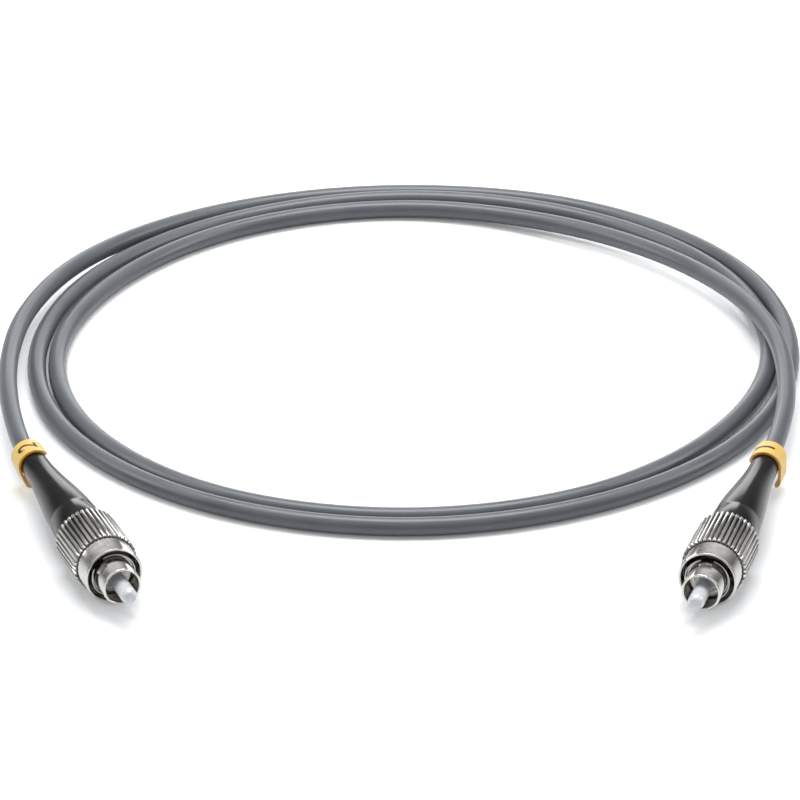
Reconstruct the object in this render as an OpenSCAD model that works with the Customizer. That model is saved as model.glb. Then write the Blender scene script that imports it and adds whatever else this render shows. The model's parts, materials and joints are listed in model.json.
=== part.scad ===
// Simplex fibre optic patch lead with a threaded FC-type connector on each end.
// A connector is drawn standing up: its axis is Z, its boot tail is at z = 0 and its ferrule
// points to +Z. place_1() and place_2() then lay the two connectors down on the floor, z = 0.

/* [Ferrule] */
// Outer diameter of the ceramic ferrule
ferrule_d = 2.5; // [2.4:0.01:2.6]
// Length of the ceramic ferrule
ferrule_len = 10.5; // [9.5:0.1:11.5]
// Diameter of the ferrule's shank, inside its holder
shank_d = 2.1; // [1.9:0.02:2.16]
// Diameter of the ferrule's fibre hole
ferrule_hole_d = 0.14; // [0.12:0.01:0.2]
// Chamfer round the ferrule's tip
ferrule_chamfer = 0.35; // [0.1:0.05:0.6]
// How far the ferrule stands out of the plug frame
ferrule_proud = 3.8; // [3:0.1:4.5]
// How far the ferrule can be pushed back against its spring
ferrule_travel = 1.5; // [0.5:0.1:2]

/* [Plug frame] */
// Outer diameter of the frame's guide tube
tube_d = 6; // [5.8:0.05:6.2]
// Inner diameter of the frame's guide tube
tube_bore_d = 5.2; // [5:0.05:5.4]
// Length of the guide tube in front of its collar
tube_len = 4.1; // [3.5:0.1:5]
// Outer diameter of the frame's collar
collar_d = 7; // [6.6:0.05:7.2]
// Length of the frame's collar
collar_len = 4.3; // [3:0.1:5]
// Length of the frame's barrel behind the collar
barrel_len = 5.6; // [4.6:0.1:5.8]
// Width of the locating key
key_w = 2; // [1.6:0.05:2.2]
// How far the key stands forward of the collar
key_len = 1.4; // [0.8:0.1:2]

/* [Coupling nut] */
// Diameter over the nut's knurled ribs
knurl_d = 10; // [9.6:0.1:10.6]
// Length of the nut's knurled band
knurl_len = 9.6; // [8.6:0.1:11]
// Depth of a groove between two ribs
knurl_depth = 0.42; // [0.2:0.02:0.45]
// Number of ribs round the nut
knurl_count = 40; // [30:1:50]
// Share of a rib's pitch that its flat crest takes
knurl_crest = 0.34; // [0.2:0.02:0.5]
// Diameter of the nut's smooth nose
nose_d = 9; // [8.8:0.05:9.1]
// Length of the nut's smooth nose
nose_len = 4; // [3:0.1:5]
// Depth of the relief inside the nut's mouth
mouth_depth = 1.5; // [1:0.1:2]
// Diameter of the relief inside the nut's mouth
mouth_d = 8.2; // [8:0.05:8.3]
// How far nut 1 stands back from its forward stop
nut_back_1 = 4.6; // [0.2:0.1:4.8]
// How far nut 2 stands back from its forward stop
nut_back_2 = 4.3; // [0.2:0.1:4.8]

/* [Spring] */
// Diameter of the spring's wire
spring_wire_d = 0.4; // [0.3:0.02:0.5]
// Mean diameter of the spring's coils
spring_mean_d = 3.8; // [3.6:0.05:4.2]
// Number of turns in the spring
spring_turns = 5; // [4:1:6]

/* [Rear body and crimp] */
// Length of the rear body's spigot inside the plug frame
spigot_len = 2.8; // [2:0.1:3]
// Diameter of the rear body's flange
flange_d = 6.6; // [6.3:0.05:6.7]
// Thickness of the rear body's flange
flange_len = 2; // [1.5:0.1:2.4]
// Outer diameter of the crimp barrel
crimp_barrel_d = 3.8; // [3.6:0.05:3.9]
// Length of the crimp barrel
crimp_barrel_len = 10.2; // [9:0.1:11]
// Thickness of the aramid yarn under the crimp sleeve
yarn_wall = 0.2; // [0.15:0.01:0.25]
// Wall of the crimp sleeve
sleeve_wall = 0.45; // [0.3:0.01:0.45]
// Length of the crimp sleeve's narrow end, round the cord
sleeve_neck_len = 5.6; // [4:0.1:8]

/* [Boot] */
// Diameter of the boot at its tail
boot_tail_d = 4.4; // [4.3:0.05:4.8]
// Diameter of the boot at its front band
boot_front_d = 7.7; // [7.6:0.02:7.8]
// Length of the boot
boot_len = 31; // [28:0.2:34]
// Length of the cylindrical band at the boot's front
boot_band_len = 6.5; // [5:0.1:8]
// Height of the small step behind the front band
boot_step = 0.08; // [0.04:0.01:0.12]
// Length of the straight stretch at the boot's tail
boot_tail_len = 5; // [4.5:0.1:7]

/* [Number marker] */
// Width of the marker along the cord
marker_w = 4; // [3:0.1:4.2]
// Wall of the marker
marker_wall = 0.42; // [0.3:0.02:0.5]
// How far the marker's lower round lies under the boot's axis
marker_drop = 3.2; // [3:0.05:3.3]
// Radius of the marker's lower round
marker_low_r = 1.4; // [1.2:0.05:1.5]
// Width of the slit at the bottom of the marker
marker_slit = 0.9; // [0.6:0.1:1.2]

/* [Fibre and cord] */
// Diameter of the cord's jacket
cord_d = 3; // [2.8:0.01:3.04]
// Diameter of the buffered fibre
buffer_d = 0.9; // [0.8:0.02:1]
// Diameter of the bare fibre in the ferrule
glass_d = 0.125; // [0.1:0.005:0.13]

/* [Hidden] */
$fn = 96;

// Clearances
fixed_gap = 0.02;      // between pieces that are pressed, screwed or glued together
run_gap = 0.1;         // between pieces that turn or slide on each other
stop_gap = 0.05;       // left at a stop when a piece stands against it
boot_gap = 0.1;        // between the boot's bore and what it covers

// Places of the pieces along the axis, from the boot's tail forwards
flange_z = boot_len + 2 * boot_gap;
frame_z = flange_z + flange_len;
collar_z = frame_z + barrel_len;
collar_front_z = collar_z + collar_len;
tube_front_z = collar_front_z + tube_len;
tip_z = tube_front_z + ferrule_proud;
ferrule_z = tip_z - ferrule_len;
crimp_z = flange_z - crimp_barrel_len;
spigot_front_z = frame_z + spigot_len;

// Inside the plug frame: a shoulder that stops the ferrule's holder
shoulder_len = 0.8;
shoulder_hole_d = 4;
shoulder_z = collar_front_z - shoulder_len;
holder_disc_d = tube_bore_d - 2 * run_gap;
holder_disc_len = 1.4;
holder_disc_z = shoulder_z - stop_gap - holder_disc_len;
holder_boss_d = shoulder_hole_d - 3 * run_gap;
holder_front_z = collar_front_z + 0.4;
holder_seat_d = shank_d + 0.9;
holder_seat_len = 0.4;
holder_slot_w = 0.7;
holder_tail_d = 2.3;
holder_tail_in = 1.9;
holder_tail_z = spigot_front_z - holder_tail_in;

// Rear body: its wide bore takes the holder's tail, and its narrow one the fibre
rear_bore_d = holder_tail_d + 3 * run_gap;
fibre_bore_d = buffer_d + 0.6;
rear_bore_z = holder_tail_z - ferrule_travel - 2 * run_gap;
barrel_groove_pitch = 0.9;
barrel_groove_d = crimp_barrel_d - 0.3;

// Crimp sleeve
yarn_in_d = crimp_barrel_d + 2 * fixed_gap;
yarn_out_d = yarn_in_d + 2 * yarn_wall;
sleeve_in_d = yarn_out_d + 2 * fixed_gap;
sleeve_out_d = sleeve_in_d + 2 * sleeve_wall;
neck_in_d = cord_d + boot_gap;
neck_out_d = neck_in_d + 2 * sleeve_wall;
cord_end_z = crimp_z - boot_gap;
sleeve_step_z = cord_end_z - 0.5;
sleeve_front_z = flange_z - 0.8;
sleeve_z = sleeve_step_z - sleeve_neck_len;

// Boot bores
boot_cord_bore_d = cord_d + 2 * boot_gap;
boot_neck_bore_d = neck_out_d + boot_gap;
boot_sleeve_bore_d = sleeve_out_d + 2 * boot_gap;
boot_band_z = boot_len - boot_band_len;

// Nut, from its own rear face: a mouth for the boot, a land, the ring's groove, the thread's bore
nut_len = knurl_len + nose_len;
nut_rear_bore_d = boot_front_d + 4 * run_gap;
nut_rear_depth = 2.6;
nut_land_d = flange_d + 3 * run_gap;
ring_groove_z = 4;
ring_len = 0.6;
ring_groove_len = ring_len + run_gap;
ring_in_d = tube_d + 2 * run_gap;
ring_out_d = ring_in_d + 1.6;
ring_groove_d = ring_out_d + run_gap;
ring_opening = 50;
thread_d = 7.2;
nut_chamfer = 0.3;
ring_forward_z = collar_z - stop_gap;
function ring_z(back) = ring_forward_z - ring_len - back;
function nut_z(back) = ring_z(back) - run_gap / 2 - ring_groove_z;

// Marker
marker_in_r = boot_tail_d / 2 + 0.04;
marker_z = 0.3;

// Where the boot tails stand on the floor, and how far each connector turns from -Y
axis_h = knurl_d / 2;
tail_1 = [58.2, 24];
yaw_1 = -16;
key_turn_1 = 0;
tail_2 = [-58.3, 24.5];
yaw_2 = 21;
key_turn_2 = 45;

// The cord's way round its loops: angle, radius and height of its axis above the floor.
// It leaves connector 2, makes two and a half turns clockwise and reaches connector 1.
loop_center = [0.2, 69];
route = [
    [208, 69.4, 5.0], [199, 66.4, 5.0], [188, 63.9, 4.6], [172, 62.2, 4.0],
    [150, 61.6, 3.2], [120, 61.4, 2.0], [90, 62.0, 1.55], [60, 64.0, 1.5],
    [30, 64.9, 1.5], [0, 63.9, 1.5], [-30, 63.5, 1.5], [-60, 62.6, 1.5],
    [-90, 62.4, 1.5], [-120, 62.0, 1.5], [-150, 61.0, 1.5], [-180, 59.2, 1.5],
    [-210, 58.4, 1.5], [-240, 58.2, 1.55], [-270, 58.8, 1.9], [-300, 60.4, 1.6],
    [-330, 61.4, 1.52], [-360, 60.5, 1.5], [-390, 59.2, 1.5], [-420, 59.2, 1.5],
    [-450, 59.1, 1.5], [-480, 58.8, 1.5], [-510, 57.5, 1.5], [-540, 55.8, 1.5],
    [-570, 54.4, 1.5], [-600, 54.8, 1.5], [-630, 55.4, 1.6], [-660, 54.4, 2.4],
    [-690, 55.8, 3.6], [-718, 60.4, 4.8], [-740, 65.8, 5.0]
];
cord_sides = 8;

// ---------------------------------------------------------------- helpers

// A round piece turned about Z: rows of [radius, height], closed along its axis side
module turned(rows) {
    rotate_extrude() polygon(rows);
}

// A straight round tube between two heights
module tube(out_d, in_d, z0, z1) {
    difference() {
        translate([0, 0, z0]) cylinder(d = out_d, h = z1 - z0);
        translate([0, 0, z0 - 1]) cylinder(d = in_d, h = z1 - z0 + 2);
    }
}

// A round bore between two heights
module bore(d, z0, z1) {
    translate([0, 0, z0]) cylinder(d = d, h = z1 - z0);
}

// Lays an upright connector down at its tail's place, turned from -Y by yaw
module laid(tail, yaw) {
    translate([tail[0], tail[1], axis_h]) rotate([90, 0, yaw]) children();
}

module place_1() { laid(tail_1, yaw_1) children(); }

module place_2() { laid(tail_2, yaw_2) children(); }

function unit(v) = v / norm(v);

// Directions across a path at one of its points, level and upwards
function level_side(t) = unit(cross(t, [0, 0, 1]));
function up_side(t) = unit(cross(level_side(t), t));

// The direction of a path at point i
function path_way(p, i) = unit(p[min(i + 1, len(p) - 1)] - p[max(i - 1, 0)]);

// A round rod of so many sides along a path that never stands upright
module swept(p, r, sides) {
    n = len(p);
    points = [for (i = [0:n - 1]) for (k = [0:sides - 1])
        let (t = path_way(p, i), a = 360 * k / sides)
        p[i] + r * (cos(a) * level_side(t) + sin(a) * up_side(t))];
    walls = [for (i = [0:n - 2]) for (k = [0:sides - 1])
        let (a = i * sides + k, b = i * sides + (k + 1) % sides)
        each [[a, a + sides, b], [b, a + sides, b + sides]]];
    first_cap = [[for (k = [0:sides - 1]) k]];
    last_cap = [[for (k = [0:sides - 1]) n * sides - 1 - k]];
    polyhedron(points = points, faces = concat(walls, first_cap, last_cap), convexity = 10);
}

// ---------------------------------------------------------------- cord

// A point on a connector's axis, z from its boot's tail
function axis_point(tail, yaw, z) = [tail[0] + z * sin(yaw), tail[1] - z * cos(yaw), axis_h];

function loop_point(row) =
    [loop_center[0] + row[1] * cos(row[0]), loop_center[1] + row[1] * sin(row[0]), row[2]];

cord_points = concat(
    [for (z = [cord_end_z, cord_end_z / 2, 0]) axis_point(tail_2, yaw_2, z)],
    [for (row = route) loop_point(row)],
    [for (z = [0, cord_end_z / 2, cord_end_z]) axis_point(tail_1, yaw_1, z)]);

// The direction through point i of the cord, as on a circle through it and its neighbours
function cord_way(i) =
    i == 0 ? unit(cord_points[1] - cord_points[0])
    : i == len(cord_points) - 1 ? unit(cord_points[i] - cord_points[i - 1])
    : let (a = cord_points[i] - cord_points[i - 1], b = cord_points[i + 1] - cord_points[i])
        unit(unit(a) * norm(b) + unit(b) * norm(a));

// A point between cord points i and i + 1, at share s of the smooth curve that joins them
function cord_curve(i, s) =
    let (
        p = cord_points[i],
        q = cord_points[i + 1],
        reach = norm(q - p) / 3,
        a = p + reach * cord_way(i),
        b = q - reach * cord_way(i + 1)
    )
    pow(1 - s, 3) * p + 3 * pow(1 - s, 2) * s * a + 3 * (1 - s) * s * s * b + s * s * s * q;

cord_path = concat(
    [for (i = [0:len(cord_points) - 2]) for (s = [0, 0.5]) cord_curve(i, s)],
    [cord_points[len(cord_points) - 1]]);

module cord() {
    color("slategray") swept(cord_path, cord_d / 2, cord_sides);
}

// ---------------------------------------------------------------- connector

module ferrule() {
    r = ferrule_d / 2;
    shank_r = shank_d / 2;
    shoulder = holder_front_z + run_gap;
    funnel = 1.2;
    color("ivory") difference() {
        turned([[0, ferrule_z], [shank_r, ferrule_z], [shank_r, shoulder], [r, shoulder],
            [r, tip_z - 2 * ferrule_chamfer], [r - ferrule_chamfer, tip_z], [0, tip_z]]);
        bore(ferrule_hole_d, ferrule_z - 1, tip_z + 1);
        turned([[0, ferrule_z - 1], [(buffer_d + run_gap) / 2, ferrule_z - 1],
            [(buffer_d + run_gap) / 2, ferrule_z + funnel], [0, ferrule_z + 1.5 * funnel]]);
    }
}

// Metal holder that the ferrule is pressed into, with the disc that its spring pushes on
module ferrule_holder() {
    seat_z = ferrule_z - holder_seat_len;
    color("gainsboro") difference() {
        union() {
            bore(holder_boss_d, holder_disc_z, holder_front_z);
            bore(holder_disc_d, holder_disc_z, holder_disc_z + holder_disc_len);
            bore(holder_seat_d, seat_z, holder_disc_z + holder_disc_len / 2);
            bore(holder_tail_d, holder_tail_z, seat_z + holder_seat_len / 2);
        }
        bore(shank_d + 2 * fixed_gap, ferrule_z - fixed_gap, holder_front_z + 1);
        bore(buffer_d + run_gap, holder_tail_z - 1, ferrule_z);
        for (side = [-1, 1])
            translate([side * holder_disc_d / 2, 0, holder_disc_z + holder_disc_len / 2])
                cube([0.9, holder_slot_w, holder_disc_len + 1], center = true);
    }
}

// Buffered fibre, stripped to bare glass inside the ferrule
module fibre() {
    glass_r = glass_d / 2;
    buffer_r = buffer_d / 2;
    stripped_z = ferrule_z + 1;
    back_z = crimp_z + ferrule_travel + run_gap;
    color("lemonchiffon") turned([[0, back_z], [buffer_r, back_z], [buffer_r, stripped_z],
        [glass_r, stripped_z + 0.6], [glass_r, tip_z], [0, tip_z]]);
}

// Coil spring between the rear body's spigot and the holder's disc
module spring() {
    wire_r = spring_wire_d / 2;
    steps = 16;
    z0 = spigot_front_z + wire_r + fixed_gap;
    z1 = holder_disc_z - wire_r - fixed_gap;
    coil = [for (i = [0:spring_turns * steps])
        let (a = 360 * i / steps, s = i / (spring_turns * steps))
        [cos(a) * spring_mean_d / 2, sin(a) * spring_mean_d / 2, z0 + s * (z1 - z0)]];
    color("silver") swept(coil, wire_r, 8);
}

module plug_frame() {
    chamfer = 0.15;
    color("lightgray") difference() {
        union() {
            bore(tube_d, frame_z, tube_front_z - chamfer);
            turned([[0, tube_front_z - chamfer], [tube_d / 2, tube_front_z - chamfer],
                [tube_d / 2 - chamfer, tube_front_z], [0, tube_front_z]]);
            bore(collar_d, collar_z, collar_front_z);
            intersection() {
                bore(collar_d, collar_front_z - 0.1, collar_front_z + key_len);
                translate([-key_w / 2, 0, collar_front_z - 0.1])
                    cube([key_w, collar_d, key_len + 0.1]);
            }
        }
        bore(tube_bore_d, collar_front_z, tube_front_z + 1);
        bore(shoulder_hole_d, shoulder_z - 1, collar_front_z + 1);
        bore(tube_bore_d, frame_z - 1, shoulder_z);
    }
}

// Body screwed into the back of the plug frame, with the ribbed barrel that the yarn is crimped on
module rear_body() {
    grooves = floor((crimp_barrel_len - 2) / barrel_groove_pitch);
    color("darkgray") difference() {
        union() {
            bore(crimp_barrel_d, crimp_z, flange_z + 0.1);
            bore(flange_d, flange_z, frame_z);
            bore(tube_bore_d - 2 * fixed_gap, frame_z - 0.1, spigot_front_z);
        }
        bore(fibre_bore_d, crimp_z - 1, spigot_front_z);
        bore(rear_bore_d, rear_bore_z, spigot_front_z + 1);
        for (i = [1:grooves])
            translate([0, 0, crimp_z + i * barrel_groove_pitch])
                tube(crimp_barrel_d + 1, barrel_groove_d, 0, barrel_groove_pitch / 3);
    }
}

module aramid_yarn() {
    color("gold") tube(yarn_out_d, yarn_in_d, crimp_z, sleeve_front_z);
}

// Stepped sleeve: its wide end squeezes the yarn and its narrow end the cord's jacket
module crimp_sleeve() {
    color("darkgray") difference() {
        union() {
            bore(neck_out_d, sleeve_z, sleeve_step_z + 1);
            bore(sleeve_out_d, sleeve_step_z, sleeve_front_z);
        }
        bore(neck_in_d, sleeve_z - 1, sleeve_front_z + 1);
        bore(sleeve_in_d, sleeve_step_z + sleeve_wall, sleeve_front_z + 1);
    }
}

// Split ring that runs on the plug frame and carries the nut along it
module nut_ring(back) {
    z = ring_z(back);
    color("dimgray") translate([0, 0, z])
        rotate([0, 0, 90 + ring_opening / 2])
            rotate_extrude(angle = 360 - ring_opening)
                translate([ring_in_d / 2, 0]) square([(ring_out_d - ring_in_d) / 2, ring_len]);
}

// Outline of the knurled band: flat crests with V grooves between them
function knurl_outline() =
    let (r = knurl_d / 2, pitch = 360 / knurl_count, half_crest = knurl_crest * pitch / 2)
    [for (i = [0:knurl_count - 1])
        let (a = i * pitch - 90)
        each [
            [r * cos(a - half_crest), r * sin(a - half_crest)],
            [r * cos(a + half_crest), r * sin(a + half_crest)],
            [(r - knurl_depth) * cos(a + pitch / 2), (r - knurl_depth) * sin(a + pitch / 2)]
        ]];

module coupling_nut(back) {
    r = knurl_d / 2;
    edge = knurl_depth;
    thread_z = ring_groove_z + ring_groove_len;
    color("silver") translate([0, 0, nut_z(back)]) difference() {
        union() {
            intersection() {
                linear_extrude(knurl_len) polygon(knurl_outline());
                turned([[0, 0], [r - edge, 0], [r + 0.1, edge + 0.1],
                    [r + 0.1, knurl_len - edge / 2 - 0.1], [r - edge / 2, knurl_len], [0, knurl_len]]);
            }
            turned([[0, 1], [nose_d / 2, 1], [nose_d / 2, nut_len - nut_chamfer / 2],
                [nose_d / 2 - nut_chamfer / 2, nut_len], [0, nut_len]]);
        }
        bore(nut_rear_bore_d, -1, nut_rear_depth);
        bore(nut_land_d, nut_rear_depth - 1, ring_groove_z + 0.1);
        bore(ring_groove_d, ring_groove_z, thread_z);
        bore(thread_d, thread_z - 0.1, nut_len - mouth_depth + 0.1);
        turned([[0, nut_len - mouth_depth - (mouth_d - thread_d) / 4],
            [thread_d / 2, nut_len - mouth_depth - (mouth_d - thread_d) / 4],
            [mouth_d / 2, nut_len - mouth_depth], [mouth_d / 2, nut_len + 1], [0, nut_len + 1]]);
    }
}

// Radius of the boot's outside: a straight tail, an S-shaped flare and a front band
function flare(s) = s * s * (3 - 2 * s);
function boot_r(z) =
    let (s = max(0, min(1, (z - boot_tail_len) / (boot_band_z - boot_tail_len))))
    boot_tail_d / 2 + (boot_front_d / 2 - boot_step - boot_tail_d / 2) * flare(s);

module boot() {
    rows = 14;
    edge = 0.25;
    lip = 0.2;
    flare_len = boot_band_z - boot_tail_len;
    outline = concat(
        [[0, 0], [boot_tail_d / 2 - lip, 0], [boot_tail_d / 2, lip]],
        [for (i = [0:rows]) let (z = boot_tail_len + flare_len * i / rows) [boot_r(z), z]],
        [[boot_front_d / 2, boot_band_z], [boot_front_d / 2, boot_len - edge],
            [boot_front_d / 2 - edge, boot_len], [0, boot_len]]);
    color([0.09, 0.09, 0.1]) difference() {
        turned(outline);
        bore(boot_cord_bore_d, -1, boot_len);
        bore(boot_neck_bore_d, sleeve_z - boot_gap, boot_len);
        bore(boot_sleeve_bore_d, sleeve_step_z - boot_gap, boot_len + 1);
    }
}

// Points of an arc of radius r about [0, y], from one angle to another
function arc(r, y, from, to, steps) =
    [for (i = [0:steps]) let (a = from + (to - from) * i / steps) [r * cos(a), y + r * sin(a)]];

// Egg-shaped outline: a round about the axis and a smaller round hanging under it
function egg(top_r, low_r, drop) =
    let (a = asin((top_r - low_r) / drop))
    concat(arc(top_r, 0, -a, 180 + a, 36), arc(low_r, -drop, 180 + a, 360 - a, 18));

// Clip-on number marker: it hugs the top of the boot's tail and hangs open under it
module number_marker() {
    color([0.91, 0.75, 0.35]) translate([0, 0, marker_z]) linear_extrude(marker_w) difference() {
        polygon(egg(marker_in_r + marker_wall, marker_low_r, marker_drop));
        polygon(egg(marker_in_r, marker_low_r - marker_wall, marker_drop));
        translate([-marker_slit / 2, -marker_drop - marker_low_r - 1])
            square([marker_slit, marker_low_r + 1]);
    }
}

// ---------------------------------------------------------------- nodes

cord();

place_1() ferrule();  // ferrule_1
place_1() rotate(key_turn_1) ferrule_holder();  // ferrule_holder_1
place_1() fibre();  // fibre_1
place_1() spring();  // spring_1
place_1() rotate(key_turn_1) plug_frame();  // plug_frame_1
place_1() rear_body();  // rear_body_1
place_1() aramid_yarn();  // aramid_yarn_1
place_1() crimp_sleeve();  // crimp_sleeve_1
place_1() nut_ring(nut_back_1);  // nut_ring_1
place_1() coupling_nut(nut_back_1);  // coupling_nut_1
place_1() boot();  // boot_1
place_1() number_marker();  // number_marker_1

place_2() ferrule();  // ferrule_2
place_2() rotate(key_turn_2) ferrule_holder();  // ferrule_holder_2
place_2() fibre();  // fibre_2
place_2() spring();  // spring_2
place_2() rotate(key_turn_2) plug_frame();  // plug_frame_2
place_2() rear_body();  // rear_body_2
place_2() aramid_yarn();  // aramid_yarn_2
place_2() crimp_sleeve();  // crimp_sleeve_2
place_2() nut_ring(nut_back_2);  // nut_ring_2
place_2() coupling_nut(nut_back_2);  // coupling_nut_2
place_2() boot();  // boot_2
place_2() number_marker();  // number_marker_2
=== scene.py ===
"""A coiled simplex fibre patch lead: a screw-on connector, boot and number marker on each end."""

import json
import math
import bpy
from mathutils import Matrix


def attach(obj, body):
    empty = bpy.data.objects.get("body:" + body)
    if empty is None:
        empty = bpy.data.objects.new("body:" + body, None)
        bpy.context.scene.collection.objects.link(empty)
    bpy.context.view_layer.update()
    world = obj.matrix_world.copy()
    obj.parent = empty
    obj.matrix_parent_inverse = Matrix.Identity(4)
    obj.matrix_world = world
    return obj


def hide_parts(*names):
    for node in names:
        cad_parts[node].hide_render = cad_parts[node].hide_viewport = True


bl_info = {
    "name": "Fibre patch lead",
    "version": (1, 0, 0),
    "blender": (4, 5, 0),
    "location": "View3D > Sidebar > Patch lead",
    "description": "Builds a coiled fibre patch lead with its connectors, boots and number markers",
    "category": "Add Mesh",
}

import bmesh
import bpy
from mathutils import Matrix, Vector

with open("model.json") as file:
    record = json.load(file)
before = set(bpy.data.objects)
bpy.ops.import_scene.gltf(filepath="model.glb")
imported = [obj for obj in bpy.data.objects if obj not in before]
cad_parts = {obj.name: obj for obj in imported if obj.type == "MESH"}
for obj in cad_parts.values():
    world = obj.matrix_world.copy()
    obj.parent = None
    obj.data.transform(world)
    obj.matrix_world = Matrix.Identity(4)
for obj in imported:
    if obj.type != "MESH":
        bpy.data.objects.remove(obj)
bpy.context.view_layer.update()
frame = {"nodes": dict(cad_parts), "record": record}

MM = 0.001
ENDS = (1, 2)
PIVOT_Z = 36.0  # where each nut's hinge stands, in mm ahead of its boot's tail

# Places along a connector's axis, in mm ahead of the boot's tail
BOOT_LEN = 31.0
BAND_Z = 24.5
TAIL_LEN = 5.0
FRAME_Z = 33.2
COLLAR_Z = 38.8
COLLAR_FRONT_Z = 43.1
TUBE_FRONT_Z = 47.2
TIP_Z = 51.0
CORD_END_Z = 20.9
NUT_Z = {1: 29.5, 2: 29.8}
KNURL_LEN = 9.6
KEY_TURN = {1: 0.0, 2: 45.0}
CLIP_Z, CLIP_LEN = 0.3, 4.0
CLIP_IN_R, CLIP_WALL = 2.24, 0.42

# How each marker and its digit turn round the boot, in degrees, and the digit's narrowing
CLIP_TURN = {1: 0.0, 2: 22.0}
DIGIT_TURN = {1: -11.0, 2: 15.0}
DIGIT_NARROW = {1: 1.0, 2: 0.74}

# The cord's way round its loops, as in the part's source: angle, radius and height of its axis
LOOP_CENTER = (0.2, 69.0)
ROUTE = (
    (208, 69.4, 5.0), (199, 66.4, 5.0), (188, 63.9, 4.6), (172, 62.2, 4.0),
    (150, 61.6, 3.2), (120, 61.4, 2.0), (90, 62.0, 1.55), (60, 64.0, 1.5),
    (30, 64.9, 1.5), (0, 63.9, 1.5), (-30, 63.5, 1.5), (-60, 62.6, 1.5),
    (-90, 62.4, 1.5), (-120, 62.0, 1.5), (-150, 61.0, 1.5), (-180, 59.2, 1.5),
    (-210, 58.4, 1.5), (-240, 58.2, 1.55), (-270, 58.8, 1.9), (-300, 60.4, 1.6),
    (-330, 61.4, 1.52), (-360, 60.5, 1.5), (-390, 59.2, 1.5), (-420, 59.2, 1.5),
    (-450, 59.1, 1.5), (-480, 58.8, 1.5), (-510, 57.5, 1.5), (-540, 55.8, 1.5),
    (-570, 54.4, 1.5), (-600, 54.8, 1.5), (-630, 55.4, 1.6), (-660, 54.4, 2.4),
    (-690, 55.8, 3.6), (-718, 60.4, 4.8), (-740, 65.8, 5.0),
)


# ---------------------------------------------------------------- helpers

def linear(code, alpha=None):
    """Turns an sRGB hex colour into Blender's linear one."""
    parts = [int(code[i:i + 2], 16) / 255 for i in (1, 3, 5)]
    out = [c / 12.92 if c <= 0.04045 else ((c + 0.055) / 1.055) ** 2.4 for c in parts]
    return tuple(out) if alpha is None else (*out, alpha)


def axis_frame(end):
    """The matrix that lays an upright connector down: its Z is the axis, its Y points up."""
    turn = next(j for j in frame["record"]["behaviour"]["joints"] if j["name"] == f"nut_turn_{end}")
    forward = Vector(turn["axis"]).normalized()
    up = Vector((0, 0, 1))
    across = up.cross(forward)
    tail = Vector(turn["pos_m"]) - forward * PIVOT_Z * MM
    place = Matrix((across, up, forward)).transposed().to_4x4()
    place.translation = tail
    return place


PLACE = {end: axis_frame(end) for end in ENDS}


def select_only(*pieces):
    """Leaves object mode, deselects everything, and selects the pieces given."""
    if bpy.context.object and bpy.context.object.mode != "OBJECT":
        bpy.ops.object.mode_set(mode="OBJECT")
    bpy.ops.object.select_all(action="DESELECT")
    for piece in pieces:
        piece.select_set(True)
    if pieces:
        bpy.context.view_layer.objects.active = pieces[-1]


def pick(piece, wanted):
    """In edit mode, selects only the vertices that wanted accepts."""
    mesh = bmesh.from_edit_mesh(piece.data)
    mesh.verts.ensure_lookup_table()
    for part in (*mesh.faces, *mesh.edges, *mesh.verts):
        part.select = False
    for vert in mesh.verts:
        if wanted(vert):
            vert.select = True
    mesh.select_flush(True)
    bmesh.update_edit_mesh(piece.data)


def picked(piece):
    """The numbers of the vertices selected in edit mode."""
    mesh = bmesh.from_edit_mesh(piece.data)
    return {vert.index for vert in mesh.verts if vert.select}


def turn_on_lathe(name, rows, steps=96, is_dent=None, start_turn=0.0):
    """A round piece about Z: a ring of points extruded and scaled from row to row.

    A row is radius and height in mm. A third number is the radius of the points that is_dent
    accepts. The last row closes on the first.
    """
    select_only()
    bpy.ops.mesh.primitive_circle_add(
        vertices=steps, radius=rows[0][0] * MM, location=(0, 0, rows[0][1] * MM),
        rotation=(0, 0, start_turn))
    piece = bpy.context.object
    piece.name = name
    piece.data.name = name
    bpy.ops.object.transform_apply(location=True, rotation=True, scale=True)
    bpy.ops.object.mode_set(mode="EDIT")
    bpy.ops.mesh.select_mode(type="VERT")
    bpy.ops.mesh.select_all(action="SELECT")
    radius, height = rows[0][:2]
    dent = radius
    for row in [*rows[1:], rows[0]]:
        bpy.ops.mesh.extrude_region_move(
            TRANSFORM_OT_translate={"value": (0, 0, (row[1] - height) * MM)})
        ring = picked(piece)
        if dent != radius:
            pick(piece, lambda v: v.index in ring and is_dent(v.co))
            grow(radius / dent)
            pick(piece, lambda v: v.index in ring)
        if row[0] != radius:
            grow(row[0] / radius)
        radius, height = row[:2]
        dent = row[2] if len(row) > 2 else radius
        if dent != radius:
            pick(piece, lambda v: v.index in ring and is_dent(v.co))
            grow(dent / radius)
            pick(piece, lambda v: v.index in ring)
    bpy.ops.mesh.select_all(action="SELECT")
    bpy.ops.mesh.remove_doubles(threshold=1e-7)
    bpy.ops.mesh.normals_make_consistent(inside=False)
    bpy.ops.object.mode_set(mode="OBJECT")
    return piece


def grow(factor):
    """Scales what is selected away from the Z axis."""
    bpy.ops.transform.resize(value=(factor, factor, 1), center_override=(0, 0, 0))


def apply_modifier(piece, kind, **settings):
    """Adds a modifier with its settings and applies it."""
    select_only(piece)
    bpy.ops.object.modifier_add(type=kind)
    modifier = piece.modifiers[-1]
    for key, value in settings.items():
        setattr(modifier, key, value)
    bpy.ops.object.modifier_apply(modifier=modifier.name)


def round_edges(piece, width, angle=35, segments=2):
    """Rounds every edge sharper than the angle, then shades the piece smooth."""
    apply_modifier(piece, "BEVEL", width=width * MM, segments=segments, limit_method="ANGLE",
                   angle_limit=math.radians(angle), harden_normals=False, miter_outer="MITER_ARC")
    shade(piece, 40)


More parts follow.
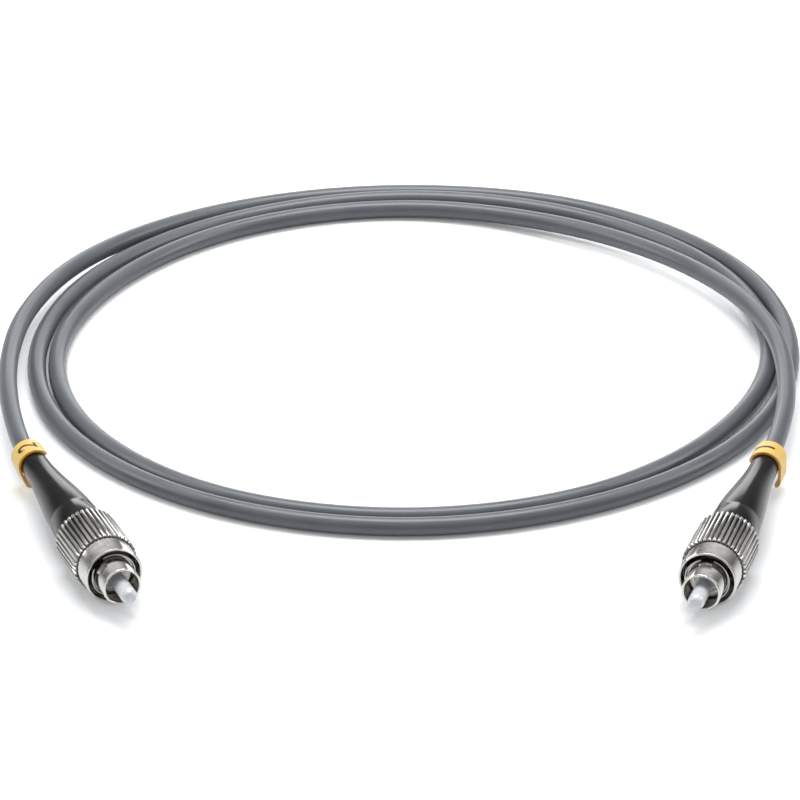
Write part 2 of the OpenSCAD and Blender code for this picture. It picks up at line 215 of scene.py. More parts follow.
def shade(piece, angle):
    """Shades a piece smooth, but for its edges sharper than the angle."""
    select_only(piece)
    bpy.ops.object.shade_smooth_by_angle(angle=math.radians(angle))


def copy_of(piece, name):
    """A copy with a mesh of its own."""
    select_only(piece)
    bpy.ops.object.duplicate(linked=False)
    twin = bpy.context.object
    twin.name = name
    twin.data.name = name
    return twin


def lay_down(piece, end, turn=0.0, forward=0.0):
    """Puts an upright piece in its connector's place, with the place in its mesh."""
    select_only(piece)
    piece.matrix_world = (
        PLACE[end] @ Matrix.Rotation(math.radians(turn), 4, "Z")
        @ Matrix.Translation((0, 0, forward * MM)) @ piece.matrix_world)
    bpy.ops.object.transform_apply(location=True, rotation=True, scale=True)


def both_ends(piece, node, body, material, turn=None, forward=None):
    """Lays a piece down on each connector in the stead of its solid."""
    for end in ENDS:
        twin = copy_of(piece, f"{piece.name}_{end}")
        lay_down(twin, end, (turn or {}).get(end, 0.0), (forward or {}).get(end, 0.0))
        twin.data.materials.clear()
        twin.data.materials.append(material(end))
        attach(twin, body.format(end))
        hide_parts(f"{node}_{end}")
    bpy.data.objects.remove(piece, do_unlink=True)


# ---------------------------------------------------------------- materials

def add_node(tree, kind, values=None, links=None, **settings):
    """Adds a node with its settings, its sockets' values and its links."""
    made = tree.nodes.new(kind)
    for key, value in settings.items():
        setattr(made, key, value)
    for socket, value in (values or {}).items():
        made.inputs[socket].default_value = value
    for socket, source in (links or {}).items():
        tree.links.new(source, made.inputs[socket])
    return made


def new_finish(name, **values):
    """A material with one shader; returns the material, its tree and the shader."""
    finish = bpy.data.materials.new(name)
    finish.use_nodes = True
    tree = finish.node_tree
    shader = tree.nodes["Principled BSDF"]
    for socket, value in values.items():
        shader.inputs[socket.replace("_", " ")].default_value = value
    return finish, tree, shader


def ramp(tree, source, stops):
    """Colours or greys along a source that runs from 0 to 1."""
    made = add_node(tree, "ShaderNodeValToRGB", links={"Fac": source})
    points = made.color_ramp.elements
    while len(points) < len(stops):
        points.new(0.5)
    for point, (place, colour) in zip(points, stops):
        point.position = place
        point.color = colour if isinstance(colour, tuple) else (colour, colour, colour, 1)
    return made.outputs["Color"]


def along_axis(tree, end):
    """Object coordinates in a connector's upright frame, in mm: the vector, z and the radius."""
    place = PLACE[end]
    spot = add_node(tree, "ShaderNodeTexCoord")
    local = add_node(
        tree, "ShaderNodeMapping", vector_type="TEXTURE",
        values={"Location": place.translation, "Rotation": place.to_euler(), "Scale": (MM, MM, MM)},
        links={"Vector": spot.outputs["Object"]})
    split = add_node(tree, "ShaderNodeSeparateXYZ", links={"Vector": local.outputs["Vector"]})
    flat = add_node(tree, "ShaderNodeVectorMath", operation="MULTIPLY",
                    values={1: (1, 1, 0)}, links={0: local.outputs["Vector"]})
    radius = add_node(tree, "ShaderNodeVectorMath", operation="LENGTH",
                      links={0: flat.outputs["Vector"]})
    return local.outputs["Vector"], split.outputs["Z"], radius.outputs["Value"]


def fine_bump(tree, shader, vector, scale, strength, distance):
    """Grain that stands out of the surface, at a scale in the vector's own unit."""
    grain = add_node(tree, "ShaderNodeTexNoise", values={"Scale": scale, "Detail": 3.0},
                     links={"Vector": vector})
    bump = add_node(tree, "ShaderNodeBump", values={"Strength": strength, "Distance": distance},
                    links={"Height": grain.outputs["Fac"]})
    tree.links.new(bump.outputs["Normal"], shader.inputs["Normal"])


def extruded_pvc():
    """Extruded PVC jacket: even mid grey, a soft sheen and a faint grain from the die."""
    finish, tree, shader = new_finish("extruded_pvc", Roughness=0.36, IOR=1.53)
    spot = add_node(tree, "ShaderNodeTexCoord")
    cloud = add_node(tree, "ShaderNodeTexNoise", values={"Scale": 90.0, "Detail": 2.0},
                     links={"Vector": spot.outputs["Object"]})
    colour = ramp(tree, cloud.outputs["Fac"], (
        (0.3, linear(sizes().cord_dark, 1)), (0.7, linear(sizes().cord_light, 1))))
    tree.links.new(colour, shader.inputs["Base Color"])
    rough = ramp(tree, cloud.outputs["Fac"], ((0.3, 0.3), (0.7, 0.4)))
    tree.links.new(rough, shader.inputs["Roughness"])
    fine_bump(tree, shader, spot.outputs["Object"], 3000.0, 0.12, 0.00002)
    return finish


def moulded_rubber(end):
    """Moulded thermoplastic rubber: black, smooth from a polished mould, with a wide soft gloss."""
    finish, tree, shader = new_finish(f"moulded_rubber_{end}", Roughness=0.2, IOR=1.42)
    spot, z, radius = along_axis(tree, end)
    cloud = add_node(tree, "ShaderNodeTexNoise", values={"Scale": 0.35, "Detail": 4.0},
                     links={"Vector": spot})
    colour = ramp(tree, cloud.outputs["Fac"], (
        (0.3, linear("#070709", 1)), (0.75, linear("#0e0e11", 1))))
    tree.links.new(colour, shader.inputs["Base Color"])
    rough = ramp(tree, cloud.outputs["Fac"], ((0.3, 0.17), (0.75, 0.24)))
    tree.links.new(rough, shader.inputs["Roughness"])
    fine_bump(tree, shader, spot, 5.0, 0.06, 0.00003)
    return finish


def bright_nickel(end, name="bright_nickel", low=0.08, high=0.16):
    """Nickel plate on turned brass: warm white metal, fine rings from the lathe."""
    finish, tree, shader = new_finish(f"{name}_{end}", Metallic=1.0, Roughness=0.12)
    spot, z, radius = along_axis(tree, end)
    cloud = add_node(tree, "ShaderNodeTexNoise", values={"Scale": 0.9, "Detail": 4.0},
                     links={"Vector": spot})
    colour = ramp(tree, cloud.outputs["Fac"], (
        (0.3, linear("#c7c5c1", 1)), (0.7, linear("#d9d7d4", 1))))
    tree.links.new(colour, shader.inputs["Base Color"])
    rough = ramp(tree, cloud.outputs["Fac"], ((0.3, low), (0.7, high)))
    tree.links.new(rough, shader.inputs["Roughness"])
    rings = add_node(tree, "ShaderNodeCombineXYZ", values={"Z": 0.0}, links={"X": z, "Y": radius})
    fine_bump(tree, shader, rings.outputs["Vector"], 14.0, 0.12, 0.00001)
    return finish


def knurled_nickel(end):
    """The same plate on the nut, with painted shade that darkens the grooves between its ribs."""
    finish = bright_nickel(end, "knurled_nickel")
    tree = finish.node_tree
    shader = tree.nodes["Principled BSDF"]
    spot, z, radius = along_axis(tree, end)
    # Painted shade: within the knurled band the base colour darkens towards #3c3a37 in the grooves
    # between the ribs, most at their bottoms
    deep = add_node(tree, "ShaderNodeMapRange", links={"Value": radius}, values={
        "From Min": 4.62, "From Max": 4.95, "To Min": 1.0, "To Max": 0.0})
    band = add_node(tree, "ShaderNodeMath", operation="LESS_THAN",
                    links={0: z}, values={1: NUT_Z[end] + KNURL_LEN + 0.02})
    outside = add_node(tree, "ShaderNodeMath", operation="GREATER_THAN",
                       links={0: radius}, values={1: 4.3})
    here = add_node(tree, "ShaderNodeMath", operation="MULTIPLY",
                    links={0: band.outputs["Value"], 1: outside.outputs["Value"]})
    share = add_node(tree, "ShaderNodeMath", operation="MULTIPLY",
                     links={0: deep.outputs["Result"], 1: here.outputs["Value"]})
    clean = shader.inputs["Base Color"].links[0].from_socket
    # Mixes the painted groove shade over the plate's own colour
    groove_shade = add_node(tree, "ShaderNodeMix", data_type="RGBA")
    tree.links.new(share.outputs["Value"], groove_shade.inputs[0])
    tree.links.new(clean, groove_shade.inputs[6])
    groove_shade.inputs[7].default_value = linear("#3c3a37", 1)
    tree.links.new(groove_shade.outputs[2], shader.inputs["Base Color"])
    return finish


def ground_zirconia(end):
    """Ground and polished zirconia: a cool, slightly translucent white with a hard gloss."""
    finish, tree, shader = new_finish(
        f"ground_zirconia_{end}", Roughness=0.12, IOR=2.1, Subsurface_Weight=0.25,
        Subsurface_Scale=0.0008, Specular_IOR_Level=0.3)
    spot, z, radius = along_axis(tree, end)
    cloud = add_node(tree, "ShaderNodeTexNoise", values={"Scale": 1.2, "Detail": 3.0},
                     links={"Vector": spot})
    colour = ramp(tree, cloud.outputs["Fac"], (
        (0.3, linear("#c3c5ca", 1)), (0.7, linear("#d0d2d6", 1))))
    tree.links.new(colour, shader.inputs["Base Color"])
    fine_bump(tree, shader, spot, 30.0, 0.05, 0.000005)
    return finish


def clip_plastic(end):
    """Moulded clip plastic: pale egg yellow outside, and a deeper orange painted on its inner face
    as its shade and yellow bounce light.
    """
    finish, tree, shader = new_finish(f"clip_plastic_{end}", Roughness=0.38, IOR=1.48,
                                      Subsurface_Weight=0.15, Subsurface_Scale=0.0006)
    spot, z, radius = along_axis(tree, end)
    cloud = add_node(tree, "ShaderNodeTexNoise", values={"Scale": 2.5, "Detail": 4.0},
                     links={"Vector": spot})
    outside = ramp(tree, cloud.outputs["Fac"], (
        (0.3, linear("#d3ae55", 1)), (0.7, linear("#dcbd6e", 1))))
    # Painted shade: the inner face gets a deeper orange that stands in for the shade and yellow
    # bounce light there
    side = add_node(tree, "ShaderNodeAttribute", attribute_name="inner_face_shade")
    tone = add_node(tree, "ShaderNodeMix", data_type="RGBA")
    tree.links.new(side.outputs["Fac"], tone.inputs[0])
    tree.links.new(outside, tone.inputs[6])
    tone.inputs[7].default_value = linear("#cf7f08", 1)
    tree.links.new(tone.outputs[2], shader.inputs["Base Color"])
    rough = ramp(tree, cloud.outputs["Fac"], ((0.3, 0.34), (0.7, 0.46)))
    tree.links.new(rough, shader.inputs["Roughness"])
    fine_bump(tree, shader, spot, 9.0, 0.08, 0.00002)
    return finish


def printed_ink():
    """Hot-stamped ink: dark brown and slightly glossy, worn a little by the grain beneath."""
    finish, tree, shader = new_finish("printed_ink", Roughness=0.45)
    spot = add_node(tree, "ShaderNodeTexCoord")
    wear = add_node(tree, "ShaderNodeTexNoise", values={"Scale": 2500.0, "Detail": 3.0},
                    links={"Vector": spot.outputs["Object"]})
    colour = ramp(tree, wear.outputs["Fac"], (
        (0.35, linear("#2e1a08", 1)), (0.75, linear("#4d3110", 1))))
    tree.links.new(colour, shader.inputs["Base Color"])
    return finish


def plain_metal(name, dark, light, low, high, metallic=1.0):
    """Turned or drawn metal that stays inside: one tint, with a cloudy polish."""
    finish, tree, shader = new_finish(name, Metallic=metallic, Roughness=high)
    spot = add_node(tree, "ShaderNodeTexCoord")
    cloud = add_node(tree, "ShaderNodeTexNoise", values={"Scale": 700.0, "Detail": 4.0},
                     links={"Vector": spot.outputs["Object"]})
    colour = ramp(tree, cloud.outputs["Fac"], ((0.3, linear(dark, 1)), (0.7, linear(light, 1))))
    tree.links.new(colour, shader.inputs["Base Color"])
    rough = ramp(tree, cloud.outputs["Fac"], ((0.3, low), (0.7, high)))
    tree.links.new(rough, shader.inputs["Roughness"])
    fine_bump(tree, shader, spot.outputs["Object"], 4000.0, 0.08, 0.00001)
    return finish


# ---------------------------------------------------------------- properties

class LeadSizes(bpy.types.PropertyGroup):
    """Sizes and colours that a user would change."""

    cord_diameter: bpy.props.FloatProperty(
        name="Cord diameter", description="Diameter of the cord's jacket", default=0.003,
        min=0.002, max=0.004, unit="LENGTH")
    digit_height: bpy.props.FloatProperty(
        name="Digit height", description="Height of the digit on a number marker", default=0.0035,
        min=0.001, max=0.006, unit="LENGTH")
    cord_dark: bpy.props.StringProperty(
        name="Jacket, dark", description="Darker grey of the cord's jacket, as sRGB hex",
        default="#51555a")
    cord_light: bpy.props.StringProperty(
        name="Jacket, light", description="Lighter grey of the cord's jacket, as sRGB hex",
        default="#5a5e63")


def sizes():
    """The sizes and colours as the scene has them."""
    return bpy.context.scene.patch_lead


# ---------------------------------------------------------------- operators

class LEAD_OT_camera(bpy.types.Operator):
    """Set up the camera that looks down on the coil"""

    bl_idname = "lead.camera"
    bl_label = "Camera"

    def execute(self, context):
        distance = 0.950
        elevation = math.radians(26.0)
        drop = math.radians(0.415)
        middle = Vector((LOOP_CENTER[0] * MM, LOOP_CENTER[1] * MM, 0))
        select_only()
        bpy.ops.object.camera_add(
            location=middle + Vector((0, -math.cos(elevation), math.sin(elevation))) * distance,
            rotation=(math.pi / 2 - elevation - drop, 0, 0))
        camera = context.object
        camera.name = "camera"
        camera.data.sensor_width = 36.0
        camera.data.lens = 260.8
        camera.data.clip_start = 0.05
        camera.data.clip_end = 20.0
        context.scene.camera = camera
        return {"FINISHED"}


def cord_points():
    """The cord's axis, from inside connector 2, round the loops, into connector 1."""
    def in_boot(end, z):
        return PLACE[end] @ Vector((0, 0, z * MM))

    inside = (CORD_END_Z, CORD_END_Z / 2, 0.0)
    around = [
        Vector((LOOP_CENTER[0] + r * math.cos(math.radians(a)),
                LOOP_CENTER[1] + r * math.sin(math.radians(a)), h)) * MM
        for a, r, h in ROUTE]
    return [in_boot(2, z) for z in inside] + around + [in_boot(1, z) for z in reversed(inside)]


class LEAD_OT_cord(bpy.types.Operator):
    """Lay the cord round its loops, from one boot to the other"""

    bl_idname = "lead.cord"
    bl_label = "Cord"

    def execute(self, context):
        points = cord_points()
        steps = [b - a for a, b in zip(points, points[1:])]
        ways = [steps[0].normalized()]
        for a, b in zip(steps, steps[1:]):
            ways.append((a.normalized() * b.length + b.normalized() * a.length).normalized())
        ways.append(steps[-1].normalized())
        line = bpy.data.curves.new("cord_jacket", "CURVE")
        line.dimensions = "3D"
        spline = line.splines.new("BEZIER")
        spline.bezier_points.add(len(points) - 1)
        for i, knot in enumerate(spline.bezier_points):
            before = steps[i - 1].length if i else steps[0].length
            after = steps[i].length if i < len(steps) else steps[-1].length
            knot.handle_left_type = knot.handle_right_type = "FREE"
            knot.co = points[i]
            knot.handle_left = points[i] - ways[i] * before / 3
            knot.handle_right = points[i] + ways[i] * after / 3
        spline.resolution_u = 10
        line.bevel_depth = sizes().cord_diameter / 2
        line.bevel_resolution = 6
        line.use_fill_caps = True
        piece = bpy.data.objects.new("cord_jacket", line)
        context.scene.collection.objects.link(piece)
        line.materials.append(extruded_pvc())
        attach(piece, "lead")
        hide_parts("cord")
        return {"FINISHED"}


class LEAD_OT_boots(bpy.types.Operator):
    """Turn the two strain-relief boots"""

    bl_idname = "lead.boots"
    bl_label = "Boots"

    def execute(self, context):
        tail_r, band_r, step = 2.2, 3.85, 0.08
        cord_bore_r, neck_bore_r, sleeve_bore_r = 1.6, 2.12, 2.7
        neck_z, sleeve_z = 14.7, 20.3
        flare_rows = 24
        flare = []
        for i in range(flare_rows + 1):
            s = i / flare_rows
            flare.append((tail_r + (band_r - step - tail_r) * s * s * (3 - 2 * s),
                          TAIL_LEN + (BAND_Z - TAIL_LEN) * s))
        rows = [
            (cord_bore_r, 0.0), (tail_r - 0.2, 0.0), (tail_r - 0.06, 0.06), (tail_r, 0.2),
            (tail_r, 1.5), (tail_r, 3.2), *flare,
            (band_r, BAND_Z), (band_r, 27.5), (band_r, BOOT_LEN - 0.25),
            (band_r - 0.08, BOOT_LEN - 0.08), (band_r - 0.25, BOOT_LEN),
            (sleeve_bore_r, BOOT_LEN), (sleeve_bore_r, sleeve_z), (neck_bore_r, sleeve_z),
            (neck_bore_r, neck_z), (cord_bore_r, neck_z)]
        piece = turn_on_lathe("boot_skin", rows, steps=96)
        round_edges(piece, 0.03, angle=60)
        both_ends(piece, "boot", "lead", moulded_rubber)
        return {"FINISHED"}


class LEAD_OT_nuts(bpy.types.Operator):
    """Turn, knurl and thread the two coupling nuts"""

    bl_idname = "lead.nuts"
    bl_label = "Coupling nuts"

    def execute(self, context):
        crest, valley, nut_len = 5.0, 4.55, 13.6
        ribs = 40
        pitch = 360 / ribs
        thread_size, thread_pitch, thread_turns = 0.44, 0.75, 8
        thread_start = Vector((4.04, 0, 5.3)) * MM

        def is_groove(spot):
            turn = (math.degrees(math.atan2(spot.y, spot.x)) + 90) % pitch
            return abs(turn - pitch / 2) < pitch / 5

        rows = [
            (4.05, 2.6), (4.05, 0.15), (4.12, 0.0), (valley - 0.02, 0.0),
            (crest, 0.42, valley), (crest, KNURL_LEN - 0.2, valley),
            (crest - 0.2, KNURL_LEN, valley), (4.5, KNURL_LEN), (4.5, nut_len - 0.14),
            (4.36, nut_len), (4.22, nut_len), (4.1, nut_len - 0.12), (4.1, nut_len - 1.5),
            (4.0, nut_len - 1.6), (4.0, 4.9), (3.6, 4.9), (3.6, 4.72), (3.95, 4.7), (3.95, 4.0),
            (3.45, 4.0), (3.45, 2.6)]
        nut = turn_on_lathe("nut_shell", rows, steps=ribs * 3, is_dent=is_groove,
                            start_turn=math.radians(pitch / 6))
        round_edges(nut, 0.035, angle=25)
        select_only()
        bpy.ops.mesh.primitive_circle_add(
            vertices=3, radius=thread_size * MM, location=thread_start, fill_type="NOTHING",
            rotation=(math.pi / 2, 0, 0))
        thread = context.object
        bpy.ops.object.transform_apply(location=True, rotation=True, scale=True)
        bpy.ops.object.mode_set(mode="EDIT")
        bpy.ops.mesh.select_all(action="SELECT")
        bpy.ops.transform.rotate(value=math.pi / 2, orient_axis="Y",
                                 center_override=thread_start)
        bpy.ops.object.mode_set(mode="OBJECT")
        apply_modifier(thread, "SCREW", angle=2 * math.pi, screw_offset=thread_pitch * MM,
                       iterations=thread_turns, steps=64, render_steps=64, use_smooth_shade=True)
        bpy.ops.object.mode_set(mode="EDIT")
        bpy.ops.mesh.select_all(action="SELECT")
        bpy.ops.mesh.fill_holes(sides=3)
        bpy.ops.mesh.normals_make_consistent(inside=False)
        bpy.ops.object.mode_set(mode="OBJECT")
        select_only(thread, nut)
        bpy.ops.object.join()
        shade(nut, 40)
        both_ends(nut, "coupling_nut", "nut_{}", knurled_nickel, forward=NUT_Z)
        return {"FINISHED"}


class LEAD_OT_frames(bpy.types.Operator):
    """Turn the two plug frames and key them"""

    bl_idname = "lead.frames"
    bl_label = "Plug frames"

    def execute(self, context):
        rows = [
            (2.6, FRAME_Z), (3.0, FRAME_Z), (3.0, COLLAR_Z),
            (3.5, COLLAR_Z), (3.5, COLLAR_FRONT_Z - 0.06),
            (3.44, COLLAR_FRONT_Z), (3.34, COLLAR_FRONT_Z), (3.3, COLLAR_FRONT_Z - 0.9),
            (3.0, COLLAR_FRONT_Z - 1.0), (3.0, TUBE_FRONT_Z - 0.12), (2.9, TUBE_FRONT_Z),
            (2.7, TUBE_FRONT_Z), (2.6, TUBE_FRONT_Z - 0.1), (2.6, COLLAR_FRONT_Z),
            (2.0, COLLAR_FRONT_Z), (2.0, COLLAR_FRONT_Z - 0.8), (2.6, COLLAR_FRONT_Z - 0.8)]
        plug = turn_on_lathe("plug_body", rows, steps=96)
        round_edges(plug, 0.05, angle=35)
        select_only()
        key_len, key_w = 1.4, 2.0
        bpy.ops.mesh.primitive_cube_add(
            size=MM, location=(0, 3.2 * MM, (COLLAR_FRONT_Z + key_len / 2 - 0.2) * MM),
            scale=(key_w, 0.56, key_len + 0.4))
        key = context.object
        bpy.ops.object.transform_apply(location=True, rotation=True, scale=True)
        bpy.ops.object.mode_set(mode="EDIT")
        bpy.ops.mesh.select_all(action="SELECT")
        bpy.ops.mesh.subdivide(number_cuts=7)
        for vert in bmesh.from_edit_mesh(key.data).verts:
            if vert.co.y > 3.3 * MM:
                vert.co.y = math.sqrt((3.5 * MM) ** 2 - vert.co.x ** 2)
        bmesh.update_edit_mesh(key.data)
        bpy.ops.object.mode_set(mode="OBJECT")
        round_edges(key, 0.08, angle=50)
        select_only(key, plug)
        bpy.ops.object.join()
        both_ends(plug, "plug_frame", "lead", bright_nickel_plug, turn=KEY_TURN)
        return {"FINISHED"}


def bright_nickel_plug(end):
    """The same plate on the plug frame, a little duller all over."""
    return bright_nickel(end, "bright_nickel_plug", low=0.1, high=0.18)


class LEAD_OT_ferrules(bpy.types.Operator):
    """Grind the two ferrules"""

    bl_idname = "lead.ferrules"
    bl_label = "Ferrules"

    def execute(self, context):
        chamfer, dome = 0.35, 0.04
        rows = [
            (0.07, TIP_Z - 10.5), (1.05, TIP_Z - 10.5), (1.05, COLLAR_FRONT_Z + 0.5),
            (1.25, COLLAR_FRONT_Z + 0.5), (1.25, TIP_Z - 2.6 * chamfer),
            (1.243, TIP_Z - 2.3 * chamfer), (1.22, TIP_Z - 2 * chamfer),
            (0.92, TIP_Z - dome - 0.06), (0.86, TIP_Z - dome),
            (0.6, TIP_Z - 0.015), (0.3, TIP_Z - 0.003), (0.07, TIP_Z)]
        piece = turn_on_lathe("ferrule_body", rows, steps=64)
        shade(piece, 50)
        both_ends(piece, "ferrule", "tip_{}", ground_zirconia)
        return {"FINISHED"}


def strap_path(steps):
    """The marker's middle line and its outward side, from its short end over the top to its hook.

    Each row also gives how far it lies from the short end and from the hook's end, in mm.
    """
    top_r = CLIP_IN_R + CLIP_WALL / 2
    hook_r, leg, wrap, hook = 1.0, 2.3, math.radians(200), math.radians(80)
    lengths = (top_r * wrap, leg, hook_r * hook)
    total = sum(lengths)
    path = []
    for i in range(steps + 1):
        far = total * i / steps
        if far < lengths[0]:
            turn = wrap - far / top_r
            way = Vector((math.cos(turn), math.sin(turn)))
            spot = top_r * way
        elif far < lengths[0] + leg:
            way = Vector((1, 0))
            spot = Vector((top_r, lengths[0] - far))
        else:
            turn = -(far - lengths[0] - leg) / hook_r
            way = Vector((math.cos(turn), math.sin(turn)))
            spot = Vector((top_r - hook_r, -leg)) + hook_r * way
        path.append((spot, way, far, total - far))
    return path


def bend_clip(end):
    """One marker: a strap that narrows at its short end and rounds off at its hook."""
    around, along, short = 110, 10, 3.4
    outer = 1 if end == 1 else -1
    path = strap_path(around)
    select_only()
    bpy.ops.mesh.primitive_grid_add(x_subdivisions=around, y_subdivisions=along, size=2)
    clip = bpy.context.object
    clip.name = f"marker_clip_{end}"
    clip.data.name = clip.name
    for vert in clip.data.vertices:
        spot, way, near, far = path[round((vert.co.x + 1) / 2 * around)]
        front = back = 1.0
        if near < short:
            front = -0.8 + 1.8 * math.sin(math.acos(1 - near / short))
        if far < 0.7:
            front = back = 0.72 + 0.28 * math.sin(math.acos(1 - far / 0.7))
        share = (vert.co.y + 1) / 2
        z = CLIP_Z + CLIP_LEN / 2 * (1 - back + share * (back + front))
        vert.co = Vector((outer * spot.x, spot.y, z)) * MM
    apply_modifier(clip, "SOLIDIFY", thickness=CLIP_WALL * MM, offset=0.0)
    bpy.ops.object.mode_set(mode="EDIT")
    bpy.ops.mesh.select_all(action="SELECT")
    bpy.ops.mesh.normals_make_consistent(inside=False)
    bpy.ops.object.mode_set(mode="OBJECT")
    round_edges(clip, 0.09, angle=50, segments=3)
    # How far each point lies on the inner face, which receives the painted orange shade
    inner = clip.data.attributes.new("inner_face_shade", "FLOAT", "POINT")
    for vert in clip.data.vertices:
        flat = Vector((outer * vert.co.x, vert.co.y)) / MM
        spot, way, near, far = min(path, key=lambda row: (row[0] - flat).length)
        depth = (spot - flat).dot(way)
        inner.data[vert.index].value = max(0.0, min(1.0, 0.5 + depth / CLIP_WALL * 1.4))
    lay_down(clip, end, turn=CLIP_TURN[end])
    clip.data.materials.append(clip_plastic(end))
    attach(clip, "lead")
    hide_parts(f"number_marker_{end}")


class LEAD_OT_markers(bpy.types.Operator):
    """Bend the two clip-on number markers and print their digits"""

    bl_idname = "lead.markers"
    bl_label = "Number markers"

    def execute(self, context):
        for end in ENDS:
            bend_clip(end)
            print_digit(end, CLIP_IN_R + CLIP_WALL + 0.02, CLIP_Z + CLIP_LEN * 0.5)
        return {"FINISHED"}


def print_digit(end, radius, middle_z):
    """Prints the digit of one end, lying on its side, round the top of the marker."""
    side = 1 if end == 2 else -1
    select_only()
    bpy.ops.object.text_add()
    digit = bpy.context.object
    digit.data.body = str(end)
    digit.data.size = sizes().digit_height * 1.37
    digit.data.align_x = "CENTER"
    digit.data.offset = 0.00006
    bpy.ops.object.convert(target="MESH")
    digit = bpy.context.object
    digit.name = f"marker_digit_{end}"
    bpy.ops.object.mode_set(mode="EDIT")
    bpy.ops.mesh.select_all(action="SELECT")
    bpy.ops.mesh.remove_doubles(threshold=1e-6)
    bpy.ops.mesh.subdivide(number_cuts=5)
    bpy.ops.object.mode_set(mode="OBJECT")
    tall = [v.co.y for v in digit.data.vertices]
    wide = [v.co.x for v in digit.data.vertices]
    mid_y, mid_x = (min(tall) + max(tall)) / 2, (min(wide) + max(wide)) / 2
    for vert in digit.data.vertices:
        turn = side * math.radians(DIGIT_TURN[end]) + (vert.co.y - mid_y) / (radius * MM)
        z = middle_z * MM - DIGIT_NARROW[end] * (vert.co.x - mid_x)
        vert.co = Vector((-radius * MM * math.sin(turn), radius * MM * math.cos(turn), z))
    apply_modifier(digit, "SOLIDIFY", thickness=0.008 * MM, offset=1.0)
    lay_down(digit, end)
    digit.data.materials.clear()
    digit.data.materials.append(printed_ink())
    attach(digit, "lead")


class LEAD_OT_inner(bpy.types.Operator):
    """Finish the solids that stay inside the connectors"""

    bl_idname = "lead.inner"
    bl_label = "Inner pieces"

    def execute(self, context):
        plated = plain_metal("plated_brass", "#b3aca0", "#c9c4ba", 0.22, 0.34)
        steel = plain_metal("drawn_spring_steel", "#8d8e91", "#a5a6a9", 0.25, 0.4)
        aluminium = plain_metal("annealed_aluminium", "#b4b6ba", "#c8cacd", 0.35, 0.5)
        aramid = plain_metal("aramid_yarn", "#c9a23c", "#dcbb5e", 0.7, 0.85, metallic=0.0)
        buffer = plain_metal("tight_buffer", "#dcd6c0", "#e8e3d0", 0.4, 0.5, metallic=0.0)
        finishes = {
            "ferrule_holder": plated, "rear_body": plated, "spring": steel, "nut_ring": steel,
            "crimp_sleeve": aluminium, "aramid_yarn": aramid, "fibre": buffer}
        for name, finish in finishes.items():
            for end in ENDS:
                mesh = frame["nodes"][f"{name}_{end}"].data
                mesh.materials.clear()
                mesh.materials.append(finish)
        return {"FINISHED"}


def soft_box(name, place, aim, size, power):
    """One soft studio light, turned to face a point and hidden from the camera."""
    select_only()
    bpy.ops.object.light_add(type="AREA", location=place)
    lamp = bpy.context.object
    lamp.name = name
    lamp.rotation_euler = (Vector(aim) - Vector(place)).to_track_quat("-Z", "Y").to_euler()
    lamp.data.shape = "RECTANGLE"
    lamp.data.size, lamp.data.size_y = size
    lamp.data.energy = power
    lamp.visible_camera = False
    return lamp


def gloss_floor():
    """White acrylic sheet: polished, so that it mirrors faintly, and pure white to the eye."""
    finish, tree, shader = new_finish("gloss_acrylic", Roughness=0.1, IOR=1.45,
                                      Base_Color=linear("#f0f1f2", 1))
    lift = add_node(tree, "ShaderNodeEmission", values={"Color": (1, 1, 1, 1), "Strength": 0.12})
    rays = add_node(tree, "ShaderNodeLightPath")
    both = add_node(tree, "ShaderNodeAddShader",
                    links={0: shader.outputs["BSDF"], 1: lift.outputs["Emission"]})
    seen = add_node(tree, "ShaderNodeMixShader", links={
        0: rays.outputs["Is Camera Ray"], 1: shader.outputs["BSDF"], 2: both.outputs["Shader"]})
    out = tree.nodes["Material Output"]
    tree.links.new(seen.outputs["Shader"], out.inputs["Surface"])
    return finish


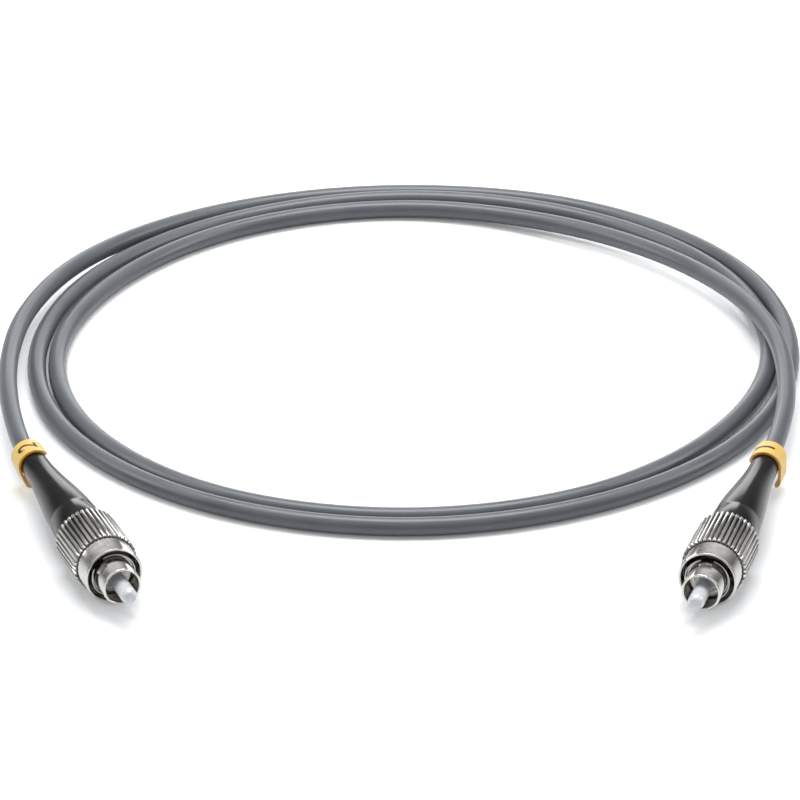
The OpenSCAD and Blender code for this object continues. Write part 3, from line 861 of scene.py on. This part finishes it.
class LEAD_OT_stage(bpy.types.Operator):
    """Set up the pale floor, the lights and the surroundings"""

    bl_idname = "lead.stage"
    bl_label = "Stage"

    def execute(self, context):
        select_only()
        bpy.ops.mesh.primitive_plane_add(size=6.0, location=(0, 0, 0))
        floor = context.object
        floor.name = "floor"
        floor.data.materials.append(gloss_floor())
        middle = (0, 0.05, 0)
        soft_box("top_light", (0.0, 0.25, 0.9), middle, (0.7, 0.45), 8.0)
        soft_box("left_light", (-0.8, 0.1, 0.5), middle, (0.3, 0.6), 2.5)
        soft_box("right_light", (0.8, 0.1, 0.5), middle, (0.3, 0.6), 2.5)
        soft_box("back_light", (0.0, 0.42, 0.09), (0, 0, 0.01), (0.26, 0.13), 0.28)
        world = context.scene.world or bpy.data.worlds.new("studio")
        context.scene.world = world
        world.use_nodes = True
        tree = world.node_tree
        tree.nodes.clear()
        rays = add_node(tree, "ShaderNodeLightPath")
        way = add_node(tree, "ShaderNodeTexCoord")
        split = add_node(tree, "ShaderNodeSeparateXYZ", links={"Vector": way.outputs["Generated"]})
        # Mirrors see a studio: pale at the floor's edge, dim above it and bright overhead
        tone = ramp(tree, split.outputs["Z"], (
            (0.0, 0.62), (0.07, 0.42), (0.2, 0.2), (0.45, 0.3), (0.65, 0.7), (0.95, 1.0)))
        mirrored = add_node(tree, "ShaderNodeBackground", values={"Strength": 1.0},
                            links={"Color": tone})
        room = add_node(tree, "ShaderNodeBackground",
                        values={"Color": linear("#eef0f3", 1), "Strength": 0.55})
        white = add_node(tree, "ShaderNodeBackground",
                         values={"Color": (1, 1, 1, 1), "Strength": 1.0})
        lit = add_node(tree, "ShaderNodeMixShader", links={
            0: rays.outputs["Is Glossy Ray"], 1: room.outputs["Background"],
            2: mirrored.outputs["Background"]})
        seen = add_node(tree, "ShaderNodeMixShader", links={
            0: rays.outputs["Is Camera Ray"], 1: lit.outputs["Shader"],
            2: white.outputs["Background"]})
        add_node(tree, "ShaderNodeOutputWorld", links={"Surface": seen.outputs["Shader"]})
        context.scene.view_settings.view_transform = "Standard"
        return {"FINISHED"}


class LEAD_PT_panel(bpy.types.Panel):
    """Lists the pieces of the patch lead"""

    bl_idname = "LEAD_PT_panel"
    bl_label = "Patch lead"
    bl_space_type = "VIEW_3D"
    bl_region_type = "UI"
    bl_category = "Patch lead"

    def draw(self, context):
        for name in LeadSizes.__annotations__:
            self.layout.prop(context.scene.patch_lead, name)
        for step in STEPS:
            self.layout.operator(step.bl_idname)


STEPS = (
    LEAD_OT_camera, LEAD_OT_cord, LEAD_OT_boots, LEAD_OT_nuts, LEAD_OT_frames, LEAD_OT_ferrules,
    LEAD_OT_markers, LEAD_OT_inner, LEAD_OT_stage)
CLASSES = (LeadSizes, *STEPS, LEAD_PT_panel)


def register():
    for item in CLASSES:
        bpy.utils.register_class(item)
    bpy.types.Scene.patch_lead = bpy.props.PointerProperty(type=LeadSizes)


def unregister():
    del bpy.types.Scene.patch_lead
    for item in reversed(CLASSES):
        bpy.utils.unregister_class(item)


def main():
    register()
    for step in STEPS:
        group, name = step.bl_idname.split(".")
        getattr(getattr(bpy.ops, group), name)()
    select_only()


if __name__ == "__main__":
    main()
